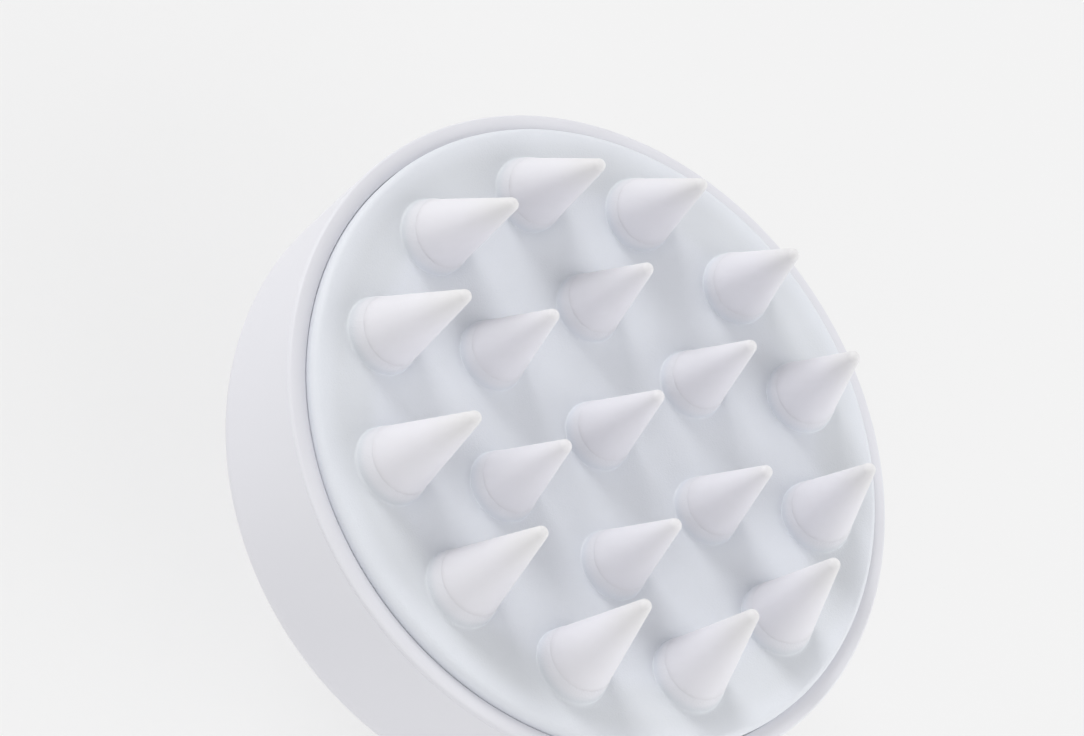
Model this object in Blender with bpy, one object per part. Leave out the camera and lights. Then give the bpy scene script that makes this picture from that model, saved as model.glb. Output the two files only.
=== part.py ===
"""Round scalp massager brush.

A cup-shaped housing on a palm knob holds a pull-out head: a dished soft pad with raised sleeves,
a cone standing in each sleeve, and the carrier plate that backs them. Metres, +Z up along the
brush's axis, with the origin at the centre of the knob's flat end and the cones pointing up.
"""

import math

import bmesh
import bpy
from mathutils import Matrix

# Housing: a round cup, open at the top
HOUSING_RADIUS = 0.0400
HOUSING_DEPTH = 0.0208
HOUSING_WALL = 0.00195
HOUSING_FLOOR = 0.0022
BACK_EDGE_RADIUS = 0.0057
RIM_OUTER_ROUND = 0.0005
RIM_INNER_ROUND = 0.0003
SEAT_RIB_COUNT = 6
SEAT_RIB_TOE = 0.0008
SEAT_RIB_THICKNESS = 0.0020
SOCKET_WALL = 0.0016
SOCKET_HEIGHT = 0.0080

# Soft pad: a dished skin with a rolled edge and a skirt
DISH_RADIUS = 0.210
DISH_DEPTH = 0.0019
PAD_SKIN = 0.0028
PAD_EDGE_ROLL = 0.0019
SKIRT_WALL = 0.0020
SKIRT_DEPTH = 0.0070
SLEEVE_HEIGHT = 0.0009
SLEEVE_WALL = 0.0008
SLEEVE_FOOT = 0.0005

# Cones: one in the middle and two rings that lean in towards the axis, by angles in degrees
OUTER_RING_INSET = 0.0082
RING_STEP = 0.0137
OUTER_RING_COUNT = 12
INNER_RING_COUNT = 6
INNER_LEAN = 2.2
OUTER_LEAN = 10.8
INNER_CONE_HEIGHT = 0.0136
OUTER_CONE_HEIGHT = 0.0151
INNER_FOOT_RADIUS = 0.0040
OUTER_FOOT_RADIUS = 0.0043
CONE_TIP_RADIUS = 0.0008
CONE_FLANGE_WIDTH = 0.0009
CONE_FLANGE_THICKNESS = 0.0010
SOCKET_WEB = 0.0008

# Carrier: the stiff plate behind the pad
CARRIER_PLATE = 0.0020
CARRIER_WALL = 0.0020
CARRIER_FLANGE = 0.0016
CARRIER_RIB_COUNT = 6
CARRIER_RIB_THICKNESS = 0.0014
CARRIER_RIB_SETBACK = 0.0004
SPIGOT_RADIUS = 0.0040
SPIGOT_WALL = 0.0014
SPIGOT_FLOOR_GAP = 0.0012

# Palm knob, its cap and its screws
KNOB_LENGTH = 0.0220
NECK_RADIUS = 0.0145
NECK_LENGTH = 0.0050
NECK_FLARE = 0.0015
BELLY_RADIUS = 0.0220
BELLY_HEIGHT = 0.0065
KNOB_WALL = 0.0020
KNOB_WEB = 0.0024
CAP_RADIUS = 0.0170
CAP_THICKNESS = 0.0020
CAP_LEDGE = 0.0016
CAP_RING_WALL = 0.0015
CAP_RING_HEIGHT = 0.0030
CAP_EDGE_CHAMFER = 0.0004
CAP_PROUD = 0.0003
SCREW_COUNT = 3
SCREW_RADIUS = 0.00125
SCREW_HEAD_RADIUS = 0.00275
SCREW_HEAD_HEIGHT = 0.0019
SCREW_GRIP = 0.0060
BOSS_WALL = 0.0014
BOSS_END = 0.0012

# Clearances
PAD_GAP = 0.00035
FLANGE_GAP = 0.0006
SEAT_GAP = 0.0003
SLEEVE_GAP = 0.0002
FLANGE_LIFT = 0.0002
SLIDE_GAP = 0.0003
SCREW_GAP = 0.0003

# Facets of each kind of round form, and how far a joined form is sunk into its base
BODY_STEPS = 56
KNOB_STEPS = 40
CARRIER_STEPS = 40
CONE_STEPS = 12
SCREW_STEPS = 10
DISH_STEPS = 4
ROUND_STEPS = 2
BACK_EDGE_STEPS = 5
KNOB_CURVE_STEPS = 6
EMBED = 0.0005
MERGE_DISTANCE = 0.000001
SMOOTH_ANGLE = math.radians(40)

# Heights along the axis
BACK_HEIGHT = KNOB_LENGTH + SEAT_GAP
RIM_HEIGHT = BACK_HEIGHT + HOUSING_DEPTH
FLOOR_HEIGHT = BACK_HEIGHT + HOUSING_FLOOR
DISH_BOTTOM = RIM_HEIGHT - DISH_DEPTH
DISH_CENTRE = DISH_BOTTOM + DISH_RADIUS
SKIRT_BOTTOM = RIM_HEIGHT - SKIRT_DEPTH
FLANGE_TOP = SKIRT_BOTTOM - SEAT_GAP
FLANGE_BOTTOM = FLANGE_TOP - CARRIER_FLANGE
SEAT_HEIGHT = FLANGE_BOTTOM - SEAT_GAP
WEB_UNDERSIDE = KNOB_LENGTH - KNOB_WEB
LEDGE_HEIGHT = CAP_THICKNESS + SEAT_GAP
BOSS_TOP = BACK_HEIGHT + SCREW_GRIP + BOSS_END

# Radii about the axis
BORE_RADIUS = HOUSING_RADIUS - HOUSING_WALL
PAD_RADIUS = BORE_RADIUS - PAD_GAP
SKIRT_INNER = PAD_RADIUS - SKIRT_WALL
CARRIER_RADIUS = SKIRT_INNER - SEAT_GAP
CARRIER_INNER = CARRIER_RADIUS - CARRIER_WALL
FLANGE_RADIUS = BORE_RADIUS - FLANGE_GAP
OUTER_RING_RADIUS = PAD_RADIUS - OUTER_RING_INSET
INNER_RING_RADIUS = OUTER_RING_RADIUS - RING_STEP
POCKET_REACH = CONE_FLANGE_WIDTH + SEAT_GAP
SOCKET_RADIUS = SPIGOT_RADIUS + SLIDE_GAP
HOLLOW_RADIUS = NECK_RADIUS - KNOB_WALL
SCREW_CIRCLE = HOLLOW_RADIUS - SCREW_HEAD_RADIUS - SCREW_GAP
SCREW_HOLE = SCREW_RADIUS + SCREW_GAP
BOSS_RADIUS = SCREW_HOLE + BOSS_WALL
RECESS_RADIUS = CAP_RADIUS + SEAT_GAP
LEDGE_RADIUS = RECESS_RADIUS - CAP_LEDGE

# Heights of a cone's flange from the dish, measured along the cone
CONE_BASE = FLANGE_LIFT - PAD_SKIN
CONE_FLANGE_TOP = CONE_BASE + CONE_FLANGE_THICKNESS

# Concentric spheres of the dish: pad underside, carrier top and carrier underside
PAD_UNDERSIDE = DISH_RADIUS + PAD_SKIN
CARRIER_TOP = PAD_UNDERSIDE + SEAT_GAP
CARRIER_UNDERSIDE = CARRIER_TOP + CARRIER_PLATE


def clear_scene():
    """Removes whatever the scene holds."""
    for obj in list(bpy.data.objects):
        bpy.data.objects.remove(obj, do_unlink=True)


def make_material(name, colour, roughness, metallic=0.0):
    """Principled material of one colour."""
    material = bpy.data.materials.new(name)
    material.use_nodes = True
    shader = material.node_tree.nodes["Principled BSDF"]
    shader.inputs["Base Color"].default_value = (*colour, 1.0)
    shader.inputs["Roughness"].default_value = roughness
    shader.inputs["Metallic"].default_value = metallic
    return material


def arc(centre, radius, start, end, steps):
    """Points of an arc in the (radius, height) plane, angles in degrees."""
    points = []
    for step in range(steps + 1):
        angle = math.radians(start + (end - start) * step / steps)
        points.append((centre[0] + radius * math.cos(angle), centre[1] + radius * math.sin(angle)))
    return points


def sphere_height(sphere_radius, radius):
    """Height of one of the dish's concentric spheres at a distance from the axis."""
    return DISH_CENTRE - math.sqrt(sphere_radius ** 2 - radius ** 2)


def dish_line(sphere_radius, start, end, steps=DISH_STEPS):
    """Points along one of the dish's spheres, from one radius to another."""
    radii = [start + (end - start) * step / steps for step in range(steps + 1)]
    return [(radius, sphere_height(sphere_radius, radius)) for radius in radii]


def turned_mesh(name, outline, steps):
    """Mesh turned about Z from an outline that is a loop, or that starts and ends on the axis."""
    bm = bmesh.new()
    verts = [bm.verts.new((radius, 0.0, height)) for radius, height in outline]
    ends = verts[1:] if outline[0][0] == 0.0 else verts[1:] + verts[:1]
    edges = [bm.edges.new(pair) for pair in zip(verts, ends)]
    bmesh.ops.spin(bm, geom=verts + edges, cent=(0, 0, 0), axis=(0, 0, 1), angle=2 * math.pi, steps=steps)
    bmesh.ops.remove_doubles(bm, verts=bm.verts, dist=MERGE_DISTANCE)
    return finish_mesh(name, bm)


def prism_mesh(name, outline, thickness):
    """Mesh of a flat rib: an outline in the (radius, height) plane with a thickness across it."""
    bm = bmesh.new()
    face = bm.faces.new([bm.verts.new((radius, -thickness / 2, height)) for radius, height in outline])
    swept = bmesh.ops.extrude_face_region(bm, geom=[face])
    moved = [item for item in swept["geom"] if isinstance(item, bmesh.types.BMVert)]
    bmesh.ops.translate(bm, verts=moved, vec=(0, thickness, 0))
    return finish_mesh(name, bm)


def pattern_mesh(name, mesh, places):
    """One mesh that holds a copy of another at each place."""
    return gathered_mesh(name, [(mesh, place) for place in places])


def gathered_mesh(name, copies):
    """One mesh that holds others, each moved to its own place."""
    bm = bmesh.new()
    for mesh, place in copies:
        first = len(bm.verts)
        bm.from_mesh(mesh)
        bm.verts.ensure_lookup_table()
        bmesh.ops.transform(bm, matrix=place, verts=bm.verts[first:])
    return finish_mesh(name, bm)


def finish_mesh(name, bm):
    """Turns the faces outwards, shades the round ones smooth and frees the working mesh."""
    bmesh.ops.recalc_face_normals(bm, faces=bm.faces)
    mesh = bpy.data.meshes.new(name)
    bm.to_mesh(mesh)
    bm.free()
    mesh.shade_smooth()
    mesh.set_sharp_from_angle(angle=SMOOTH_ANGLE)
    return mesh


def add_object(name, mesh, material, parent=None):
    """Object of a mesh, with its material, under a parent if it has one."""
    mesh.materials.append(material)
    obj = bpy.data.objects.new(name, mesh)
    bpy.context.collection.objects.link(obj)
    obj.parent = parent
    return obj


def add_empty(name, height):
    """Empty on the brush's axis that carries the pieces of one group."""
    empty = bpy.data.objects.new(name, None)
    empty.location = (0.0, 0.0, height)
    bpy.context.collection.objects.link(empty)
    return empty


def cut_or_join(target, tool_name, tool_mesh, operation):
    """Boolean of a target with a hidden tool under the same parent."""
    tool = bpy.data.objects.new(tool_name, tool_mesh)
    bpy.context.collection.objects.link(tool)
    tool.parent = target.parent
    tool.hide_render = True
    tool.display_type = "WIRE"
    boolean = target.modifiers.new(tool_name, "BOOLEAN")
    boolean.operation = operation
    boolean.solver = "EXACT"
    boolean.object = tool


def around(count, first_angle=0.0):
    """Turns about Z that spread copies evenly, the first at an angle in degrees."""
    return [Matrix.Rotation(math.radians(first_angle) + 2 * math.pi * index / count, 4, "Z")
            for index in range(count)]


def screw_places():
    """Places of the screws and their bosses on the screw circle."""
    out = Matrix.Translation((SCREW_CIRCLE, 0.0, 0.0))
    return [turn @ out for turn in around(SCREW_COUNT, 90.0)]


def seat_distance(foot_radius, other_foot_radius):
    """Least distance of two seats that leaves a web between the pockets of their cones."""
    return foot_radius + other_foot_radius + 2 * POCKET_REACH + SOCKET_WEB


def cone_seats():
    """Named seats of the cones on the dish: each one's frame, and its cone's height and foot radius.

    A seat's Z axis runs along its cone. A seat that would crowd one already placed is left out.
    """
    inner = (INNER_RING_RADIUS, INNER_LEAN, INNER_CONE_HEIGHT, INNER_FOOT_RADIUS)
    outer = (OUTER_RING_RADIUS, OUTER_LEAN, OUTER_CONE_HEIGHT, OUTER_FOOT_RADIUS)
    plan = [("cone_centre", 0.0, 0.0, 0.0, INNER_CONE_HEIGHT, INNER_FOOT_RADIUS)]
    for index in range(INNER_RING_COUNT):
        plan.append((f"cone_inner_{index + 1}", 30.0 + 360.0 * index / INNER_RING_COUNT, *inner))
    for index in range(OUTER_RING_COUNT):
        plan.append((f"cone_outer_{index + 1:02d}", 15.0 + 360.0 * index / OUTER_RING_COUNT, *outer))
    seats = []
    for name, angle, radius, lean, height, foot_radius in plan:
        frame = Matrix.Rotation(math.radians(angle), 4, "Z")
        frame = frame @ Matrix.Translation((radius, 0.0, sphere_height(DISH_RADIUS, radius)))
        frame = frame @ Matrix.Rotation(-math.radians(lean), 4, "Y")
        spare = [(frame.translation - other.translation).length - seat_distance(foot_radius, other_foot)
                 for _, other, _, other_foot in seats]
        if min(spare, default=0.0) >= 0.0:
            seats.append((name, frame, height, foot_radius))
    return seats


def make_housing(material):
    """Cup with a rounded back edge, a spigot socket, seat ribs for the carrier and screw bosses."""
    inner_round = BACK_EDGE_RADIUS - HOUSING_WALL
    edge_centre = (HOUSING_RADIUS - BACK_EDGE_RADIUS, BACK_HEIGHT + BACK_EDGE_RADIUS)
    inner_centre = (BORE_RADIUS - inner_round, FLOOR_HEIGHT + inner_round)
    rim_outer_centre = (HOUSING_RADIUS - RIM_OUTER_ROUND, RIM_HEIGHT - RIM_OUTER_ROUND)
    rim_inner_centre = (BORE_RADIUS + RIM_INNER_ROUND, RIM_HEIGHT - RIM_INNER_ROUND)
    outline = [(0.0, BACK_HEIGHT)]
    outline += arc(edge_centre, BACK_EDGE_RADIUS, -90, 0, BACK_EDGE_STEPS)
    outline += arc(rim_outer_centre, RIM_OUTER_ROUND, 0, 90, ROUND_STEPS)
    outline += arc(rim_inner_centre, RIM_INNER_ROUND, 90, 180, ROUND_STEPS)
    outline += arc(inner_centre, inner_round, 0, -90, BACK_EDGE_STEPS // 2)
    outline += [
        (SOCKET_RADIUS + SOCKET_WALL, FLOOR_HEIGHT),
        (SOCKET_RADIUS + SOCKET_WALL, FLOOR_HEIGHT + SOCKET_HEIGHT),
        (SOCKET_RADIUS, FLOOR_HEIGHT + SOCKET_HEIGHT),
        (SOCKET_RADIUS, FLOOR_HEIGHT),
        (0.0, FLOOR_HEIGHT),
    ]
    housing = add_object("housing_cup", turned_mesh("housing_cup", outline, BODY_STEPS), material)

    rib_inner = inner_centre[0] - SEAT_RIB_TOE
    rib = [(rib_inner, SEAT_HEIGHT), (rib_inner, FLOOR_HEIGHT - EMBED)]
    rib += arc(inner_centre, inner_round + EMBED, -90, 0, BACK_EDGE_STEPS // 2)
    rib += [(BORE_RADIUS + EMBED, SEAT_HEIGHT)]
    rib_mesh = prism_mesh("seat_rib", rib, SEAT_RIB_THICKNESS)
    ribs = pattern_mesh("seat_ribs", rib_mesh, around(SEAT_RIB_COUNT))
    cut_or_join(housing, "seat_ribs", ribs, "UNION")

    boss_foot = FLOOR_HEIGHT - EMBED
    boss = [(0.0, BOSS_TOP), (BOSS_RADIUS, BOSS_TOP), (BOSS_RADIUS, boss_foot), (0.0, boss_foot)]
    bosses = pattern_mesh("screw_bosses", turned_mesh("screw_boss", boss, SCREW_STEPS), screw_places())
    cut_or_join(housing, "screw_bosses", bosses, "UNION")

    hole_top = BOSS_TOP - BOSS_END
    hole_foot = BACK_HEIGHT - EMBED
    hole = [(0.0, hole_top), (SCREW_HOLE, hole_top), (SCREW_HOLE, hole_foot), (0.0, hole_foot)]
    holes = pattern_mesh("boss_holes", turned_mesh("boss_hole", hole, SCREW_STEPS), screw_places())
    cut_or_join(housing, "boss_holes", holes, "DIFFERENCE")


def knob_outline():
    """Outside of the knob from the neck's top to its foot: a waisted neck that swells to the belly."""
    foot_height = CAP_PROUD
    flare_centre = (NECK_RADIUS + NECK_FLARE, KNOB_LENGTH - NECK_FLARE)
    points = arc(flare_centre, NECK_FLARE, 90, 180, ROUND_STEPS)
    neck_foot = KNOB_LENGTH - NECK_LENGTH
    for step in range(KNOB_CURVE_STEPS + 1):
        share = step / KNOB_CURVE_STEPS
        swell = (1 - math.cos(math.pi * share)) / 2
        radius = NECK_RADIUS + (BELLY_RADIUS - NECK_RADIUS) * swell
        points.append((radius, neck_foot + (BELLY_HEIGHT - neck_foot) * share))
    foot_radius = RECESS_RADIUS + KNOB_WALL
    for step in range(1, KNOB_CURVE_STEPS + 1):
        angle = math.pi / 2 * step / KNOB_CURVE_STEPS
        radius = foot_radius + (BELLY_RADIUS - foot_radius) * math.cos(angle)
        points.append((radius, BELLY_HEIGHT - (BELLY_HEIGHT - foot_height) * math.sin(angle)))
    return points


def make_knob(material):
    """Hollow palm knob, open at its foot, with a web at the top that the screws pass through."""
    outline = [(0.0, KNOB_LENGTH)] + knob_outline()
    outline += [
        (RECESS_RADIUS, CAP_PROUD),
        (RECESS_RADIUS, LEDGE_HEIGHT),
        (LEDGE_RADIUS, LEDGE_HEIGHT),
        (LEDGE_RADIUS, LEDGE_HEIGHT + CAP_RING_HEIGHT),
        (HOLLOW_RADIUS, KNOB_LENGTH - NECK_LENGTH),
        (HOLLOW_RADIUS, WEB_UNDERSIDE),
        (0.0, WEB_UNDERSIDE),
    ]
    knob = add_object("grip_knob", turned_mesh("grip_knob", outline, KNOB_STEPS), material)
    hole_top = KNOB_LENGTH + EMBED
    hole_foot = WEB_UNDERSIDE - EMBED
    hole = [(0.0, hole_top), (SCREW_HOLE, hole_top), (SCREW_HOLE, hole_foot), (0.0, hole_foot)]
    holes = pattern_mesh("web_holes", turned_mesh("web_hole", hole, SCREW_STEPS), screw_places())
    cut_or_join(knob, "web_holes", holes, "DIFFERENCE")


def make_cap(material):
    """Flat foot cap with a ring that plugs into the knob."""
    ring_outer = LEDGE_RADIUS - SEAT_GAP
    ring_inner = ring_outer - CAP_RING_WALL
    ring_top = CAP_THICKNESS + CAP_RING_HEIGHT
    outline = [
        (0.0, CAP_THICKNESS),
        (ring_inner, CAP_THICKNESS),
        (ring_inner, ring_top),
        (ring_outer, ring_top),
        (ring_outer, CAP_THICKNESS),
        (CAP_RADIUS, CAP_THICKNESS),
        (CAP_RADIUS, CAP_EDGE_CHAMFER),
        (CAP_RADIUS - CAP_EDGE_CHAMFER, 0.0),
        (0.0, 0.0),
    ]
    add_object("knob_cap", turned_mesh("knob_cap", outline, KNOB_STEPS), material)


def make_screws(material):
    """Pan-head screws that draw the knob against the housing's back."""
    bearing = WEB_UNDERSIDE - SEAT_GAP
    head_foot = bearing - SCREW_HEAD_HEIGHT
    shank_top = BOSS_TOP - BOSS_END - SCREW_GAP
    outline = [
        (0.0, shank_top),
        (SCREW_RADIUS, shank_top),
        (SCREW_RADIUS, bearing),
        (SCREW_HEAD_RADIUS, bearing),
        (SCREW_HEAD_RADIUS, bearing - SCREW_HEAD_HEIGHT / 2),
        (SCREW_RADIUS, head_foot),
        (0.0, head_foot),
    ]
    for index, place in enumerate(screw_places()):
        name = f"knob_screw_{index + 1}"
        screw = add_object(name, turned_mesh(name, outline, SCREW_STEPS), material)
        screw.matrix_world = place


def make_carrier(material, head):
    """Dished plate with a wall, a flange under the pad's skirt, stiffening ribs and a hollow spigot."""
    spigot_foot = FLOOR_HEIGHT + SPIGOT_FLOOR_GAP
    core_radius = SPIGOT_RADIUS - SPIGOT_WALL
    outline = dish_line(CARRIER_TOP, 0.0, CARRIER_RADIUS)
    outline += [
        (CARRIER_RADIUS, FLANGE_TOP),
        (FLANGE_RADIUS, FLANGE_TOP),
        (FLANGE_RADIUS, FLANGE_BOTTOM),
        (CARRIER_INNER, FLANGE_BOTTOM),
    ]
    outline += dish_line(CARRIER_UNDERSIDE, CARRIER_INNER, SPIGOT_RADIUS)
    outline += [
        (SPIGOT_RADIUS, spigot_foot),
        (core_radius, spigot_foot),
        (core_radius, sphere_height(CARRIER_UNDERSIDE, core_radius)),
        (0.0, sphere_height(CARRIER_UNDERSIDE, 0.0)),
    ]
    mesh = turned_mesh("pad_carrier", on_axis_origin(outline), CARRIER_STEPS)
    carrier = add_object("pad_carrier", mesh, material, head)

    rib_inner = SPIGOT_RADIUS - SPIGOT_WALL / 2
    rib_outer = CARRIER_INNER + CARRIER_WALL / 2
    rib_foot = FLANGE_BOTTOM + CARRIER_RIB_SETBACK
    rib = dish_line(CARRIER_TOP + CARRIER_PLATE / 2, rib_inner, rib_outer, 2 * DISH_STEPS)
    rib += [(rib_outer, rib_foot), (rib_inner, rib_foot)]
    rib_mesh = prism_mesh("carrier_rib", on_axis_origin(rib), CARRIER_RIB_THICKNESS)
    ribs = pattern_mesh("carrier_ribs", rib_mesh, around(CARRIER_RIB_COUNT))
    cut_or_join(carrier, "carrier_ribs", ribs, "UNION")


def on_axis_origin(outline):
    """Outline measured from the head's own origin, at the middle of the rim plane."""
    return [(radius, height - RIM_HEIGHT) for radius, height in outline]


def make_pad(material, head, seats):
    """Dished soft pad: rolled edge, skirt over the carrier, and a bored sleeve round each cone's foot."""
    roll_radius = PAD_RADIUS - PAD_EDGE_ROLL
    roll_reach = DISH_RADIUS + PAD_EDGE_ROLL
    roll_height = DISH_CENTRE - math.sqrt(roll_reach ** 2 - roll_radius ** 2)
    roll_start = math.degrees(math.acos(roll_radius / roll_reach))
    dish_edge = roll_radius * DISH_RADIUS / roll_reach
    outline = dish_line(DISH_RADIUS, 0.0, dish_edge)
    roll = arc((roll_radius, roll_height), PAD_EDGE_ROLL, 180 - roll_start, 0, 2 * ROUND_STEPS)
    outline += roll[1:]
    outline += [
        (PAD_RADIUS, SKIRT_BOTTOM),
        (SKIRT_INNER, SKIRT_BOTTOM),
    ]
    outline += dish_line(PAD_UNDERSIDE, SKIRT_INNER, 0.0)
    mesh = turned_mesh("massage_pad", on_axis_origin(outline), BODY_STEPS)
    pad = add_object("massage_pad", mesh, material, head)

    sleeves = []
    sockets = []
    for name, frame, _, foot_radius in seats:
        place = Matrix.Translation((0.0, 0.0, -RIM_HEIGHT)) @ frame
        sleeves.append((turned_mesh(f"sleeve_{name}", sleeve_outline(foot_radius), CONE_STEPS), place))
        sockets.append((turned_mesh(f"socket_{name}", socket_outline(foot_radius), CONE_STEPS), place))
    cut_or_join(pad, "pad_sleeves", gathered_mesh("pad_sleeves", sleeves), "UNION")
    cut_or_join(pad, "cone_sockets", gathered_mesh("cone_sockets", sockets), "DIFFERENCE")


def sleeve_outline(foot_radius):
    """Raised collar round a cone's foot, sunk into the pad's skin."""
    sleeve_radius = foot_radius + SLEEVE_GAP + SLEEVE_WALL
    sunk = -PAD_SKIN / 2
    return [
        (0.0, SLEEVE_HEIGHT),
        (sleeve_radius - SLEEVE_FOOT, SLEEVE_HEIGHT),
        (sleeve_radius, SLEEVE_HEIGHT - SLEEVE_FOOT),
        (sleeve_radius + SLEEVE_FOOT, -SLEEVE_FOOT),
        (sleeve_radius + SLEEVE_FOOT, sunk),
        (0.0, sunk),
    ]


def socket_outline(foot_radius):
    """Bore of a sleeve and the wider pocket under it for the cone's flange."""
    bore = foot_radius + SLEEVE_GAP
    pocket_radius = foot_radius + POCKET_REACH
    pocket_top = CONE_FLANGE_TOP + SEAT_GAP
    through = SLEEVE_HEIGHT + EMBED
    below = -PAD_SKIN - 2 * EMBED
    return [
        (0.0, through),
        (bore, through),
        (bore, pocket_top),
        (pocket_radius, pocket_top),
        (pocket_radius, below),
        (0.0, below),
    ]


def cone_outline(height, foot_radius):
    """Cone from its rounded tip to its flanged foot, measured from the dish's surface."""
    tip_height = height - CONE_TIP_RADIUS
    rise = tip_height - SLEEVE_HEIGHT
    reach = math.hypot(foot_radius, rise)
    taper = math.atan2(foot_radius, rise) - math.asin(CONE_TIP_RADIUS / reach)
    flange_radius = foot_radius + CONE_FLANGE_WIDTH
    points = arc((0.0, tip_height), CONE_TIP_RADIUS, 90, math.degrees(taper), ROUND_STEPS)
    points[0] = (0.0, height)
    points += [
        (foot_radius, SLEEVE_HEIGHT),
        (foot_radius, CONE_FLANGE_TOP),
        (flange_radius, CONE_FLANGE_TOP),
        (flange_radius, CONE_BASE),
        (0.0, CONE_BASE),
    ]
    return points


def make_cones(material, head, seats):
    """Round-tipped cones, each trapped by its flange between the pad and the carrier."""
    lower = Matrix.Translation((0.0, 0.0, -RIM_HEIGHT))
    for name, frame, height, foot_radius in seats:
        mesh = turned_mesh(name, cone_outline(height, foot_radius), CONE_STEPS)
        cone = add_object(name, mesh, material, head)
        cone.matrix_local = lower @ frame


def main():
    clear_scene()
    white_abs = make_material("white_abs", (0.80, 0.79, 0.82), 0.45)
    knob_abs = make_material("knob_white_abs", (0.80, 0.79, 0.82), 0.45)
    cap_abs = make_material("cap_white_abs", (0.78, 0.77, 0.80), 0.50)
    carrier_abs = make_material("carrier_white_abs", (0.75, 0.75, 0.76), 0.55)
    pad_silicone = make_material("pad_silicone", (0.74, 0.78, 0.82), 0.40)
    cone_silicone = make_material("cone_silicone", (0.82, 0.80, 0.82), 0.55)
    steel = make_material("screw_steel", (0.60, 0.60, 0.62), 0.30, 1.0)

    seats = cone_seats()
    head = add_empty("head_axis", RIM_HEIGHT)
    make_housing(white_abs)
    make_knob(knob_abs)
    make_cap(cap_abs)
    make_screws(steel)
    make_carrier(carrier_abs, head)
    make_pad(pad_silicone, head, seats)
    make_cones(cone_silicone, head, seats)


main()
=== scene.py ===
"""Looks of a round scalp massager brush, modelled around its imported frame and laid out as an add-on."""

import math

import bmesh
import bpy
from bpy.props import FloatProperty, FloatVectorProperty, PointerProperty
from mathutils import Matrix, Vector


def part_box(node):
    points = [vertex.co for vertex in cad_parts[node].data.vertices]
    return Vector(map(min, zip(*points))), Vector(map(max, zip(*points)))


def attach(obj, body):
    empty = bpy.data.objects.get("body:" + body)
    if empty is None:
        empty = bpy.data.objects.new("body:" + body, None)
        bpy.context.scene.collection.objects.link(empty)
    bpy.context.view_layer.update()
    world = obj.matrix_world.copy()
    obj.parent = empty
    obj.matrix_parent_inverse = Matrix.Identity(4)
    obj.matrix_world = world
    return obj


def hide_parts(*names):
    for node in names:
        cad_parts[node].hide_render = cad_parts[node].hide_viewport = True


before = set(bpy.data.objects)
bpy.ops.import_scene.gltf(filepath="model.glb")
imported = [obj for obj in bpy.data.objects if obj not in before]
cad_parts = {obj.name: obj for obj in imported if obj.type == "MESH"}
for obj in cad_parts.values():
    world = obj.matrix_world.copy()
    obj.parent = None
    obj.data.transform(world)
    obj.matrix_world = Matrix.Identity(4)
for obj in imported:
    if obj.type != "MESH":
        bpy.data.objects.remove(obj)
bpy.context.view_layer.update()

bl_info = {
    "name": "Scalp Massager Brush",
    "version": (1, 0, 0),
    "blender": (4, 5, 0),
    "location": "View3D > Sidebar > Brush",
    "description": "Models a scalp massager brush with its pad, cones, housing and knob, and its studio",
    "category": "Object",
}

MM = 0.001

# Places that the frame gives
HOUSING_LOW, HOUSING_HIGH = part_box("housing_cup")
PAD_LOW, PAD_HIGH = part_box("massage_pad")
KNOB_LOW, KNOB_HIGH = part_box("grip_knob")
_, CAP_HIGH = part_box("knob_cap")
RIM_HEIGHT = HOUSING_HIGH.z
BACK_HEIGHT = HOUSING_LOW.z

# Facets round the axis of each kind of form
BODY_STEPS = 192
KNOB_STEPS = 128
CONE_STEPS = 64
SCREW_STEPS = 32

# Facets along the outlines of the cup, the sleeves, the pad's edge, the cones, the knob and the cap
BACK_EDGE_STEPS = 16
RIM_EDGE_STEPS = 8
RIM_CROWN_STEPS = 12
RIM_LIP_STEPS = 6
BORE_ROUND_STEPS = 10
SLEEVE_FILLET_STEPS = 6
SLEEVE_SIDE_STEPS = 8
PAD_CREST_STEPS = 10
PAD_ROLL_STEPS = 14
CONE_TIP_STEPS = 10
CONE_SIDE_STEPS = 8
NECK_FLARE_STEPS = 8
KNOB_SWELL_STEPS = 24
KNOB_FOOT_STEPS = 16
CAP_ROUND_STEPS = 6

# Cuts of each edge in the pad's sheets, distance at which points merge, angle up to which shading is smooth
SHEET_CUTS = 3
MERGE_DISTANCE = 0.000005
SMOOTH_ANGLE = math.radians(35)

# Patterns about the axis: how many copies, and the first one's angle in degrees
INNER_CONE_COUNT = 6
INNER_CONE_ANGLE = 30
OUTER_CONE_COUNT = 12
OUTER_CONE_ANGLE = 15
SCREW_COUNT = 3
SCREW_ANGLE = 90
SEAT_RIB_COUNT = 6

# Hidden forms in the cup: the socket for the head's spigot on its floor, the screw bosses and their holes
# measured from its back, and the seat ribs
SOCKET_RADIUS = 4.3 * MM
SOCKET_WALL = 1.6 * MM
SOCKET_HEIGHT = 8.0 * MM
BOSS_WALL = 1.4 * MM
BOSS_TOP = 7.2 * MM
BOSS_SINK = 0.5 * MM
SCREW_HOLE_DEPTH = 6.0 * MM
CUT_REACH = 1.0 * MM
SEAT_RIB_TOE = 0.8 * MM
SEAT_RIB_SETBACK = 1.7 * MM
SEAT_RIB_SINK = 0.2 * MM
SEAT_RIB_THICKNESS = 2.0 * MM

# Hidden forms of the knob and its cap, tops measured from the ground
RECESS_CHAMFER = 0.2 * MM
RECESS_TOP = 2.3 * MM
LEDGE_WIDTH = 1.6 * MM
LEDGE_TOP = 5.3 * MM
HOLLOW_RADIUS = 12.5 * MM
KNOB_WEB = 2.4 * MM
KNOB_HOLE_DEPTH = 4.0 * MM
CAP_ROUND = 0.4 * MM
CAP_THICKNESS = 2.0 * MM
CAP_RING_OUTER = 15.4 * MM
CAP_RING_INNER = 13.9 * MM

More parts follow.
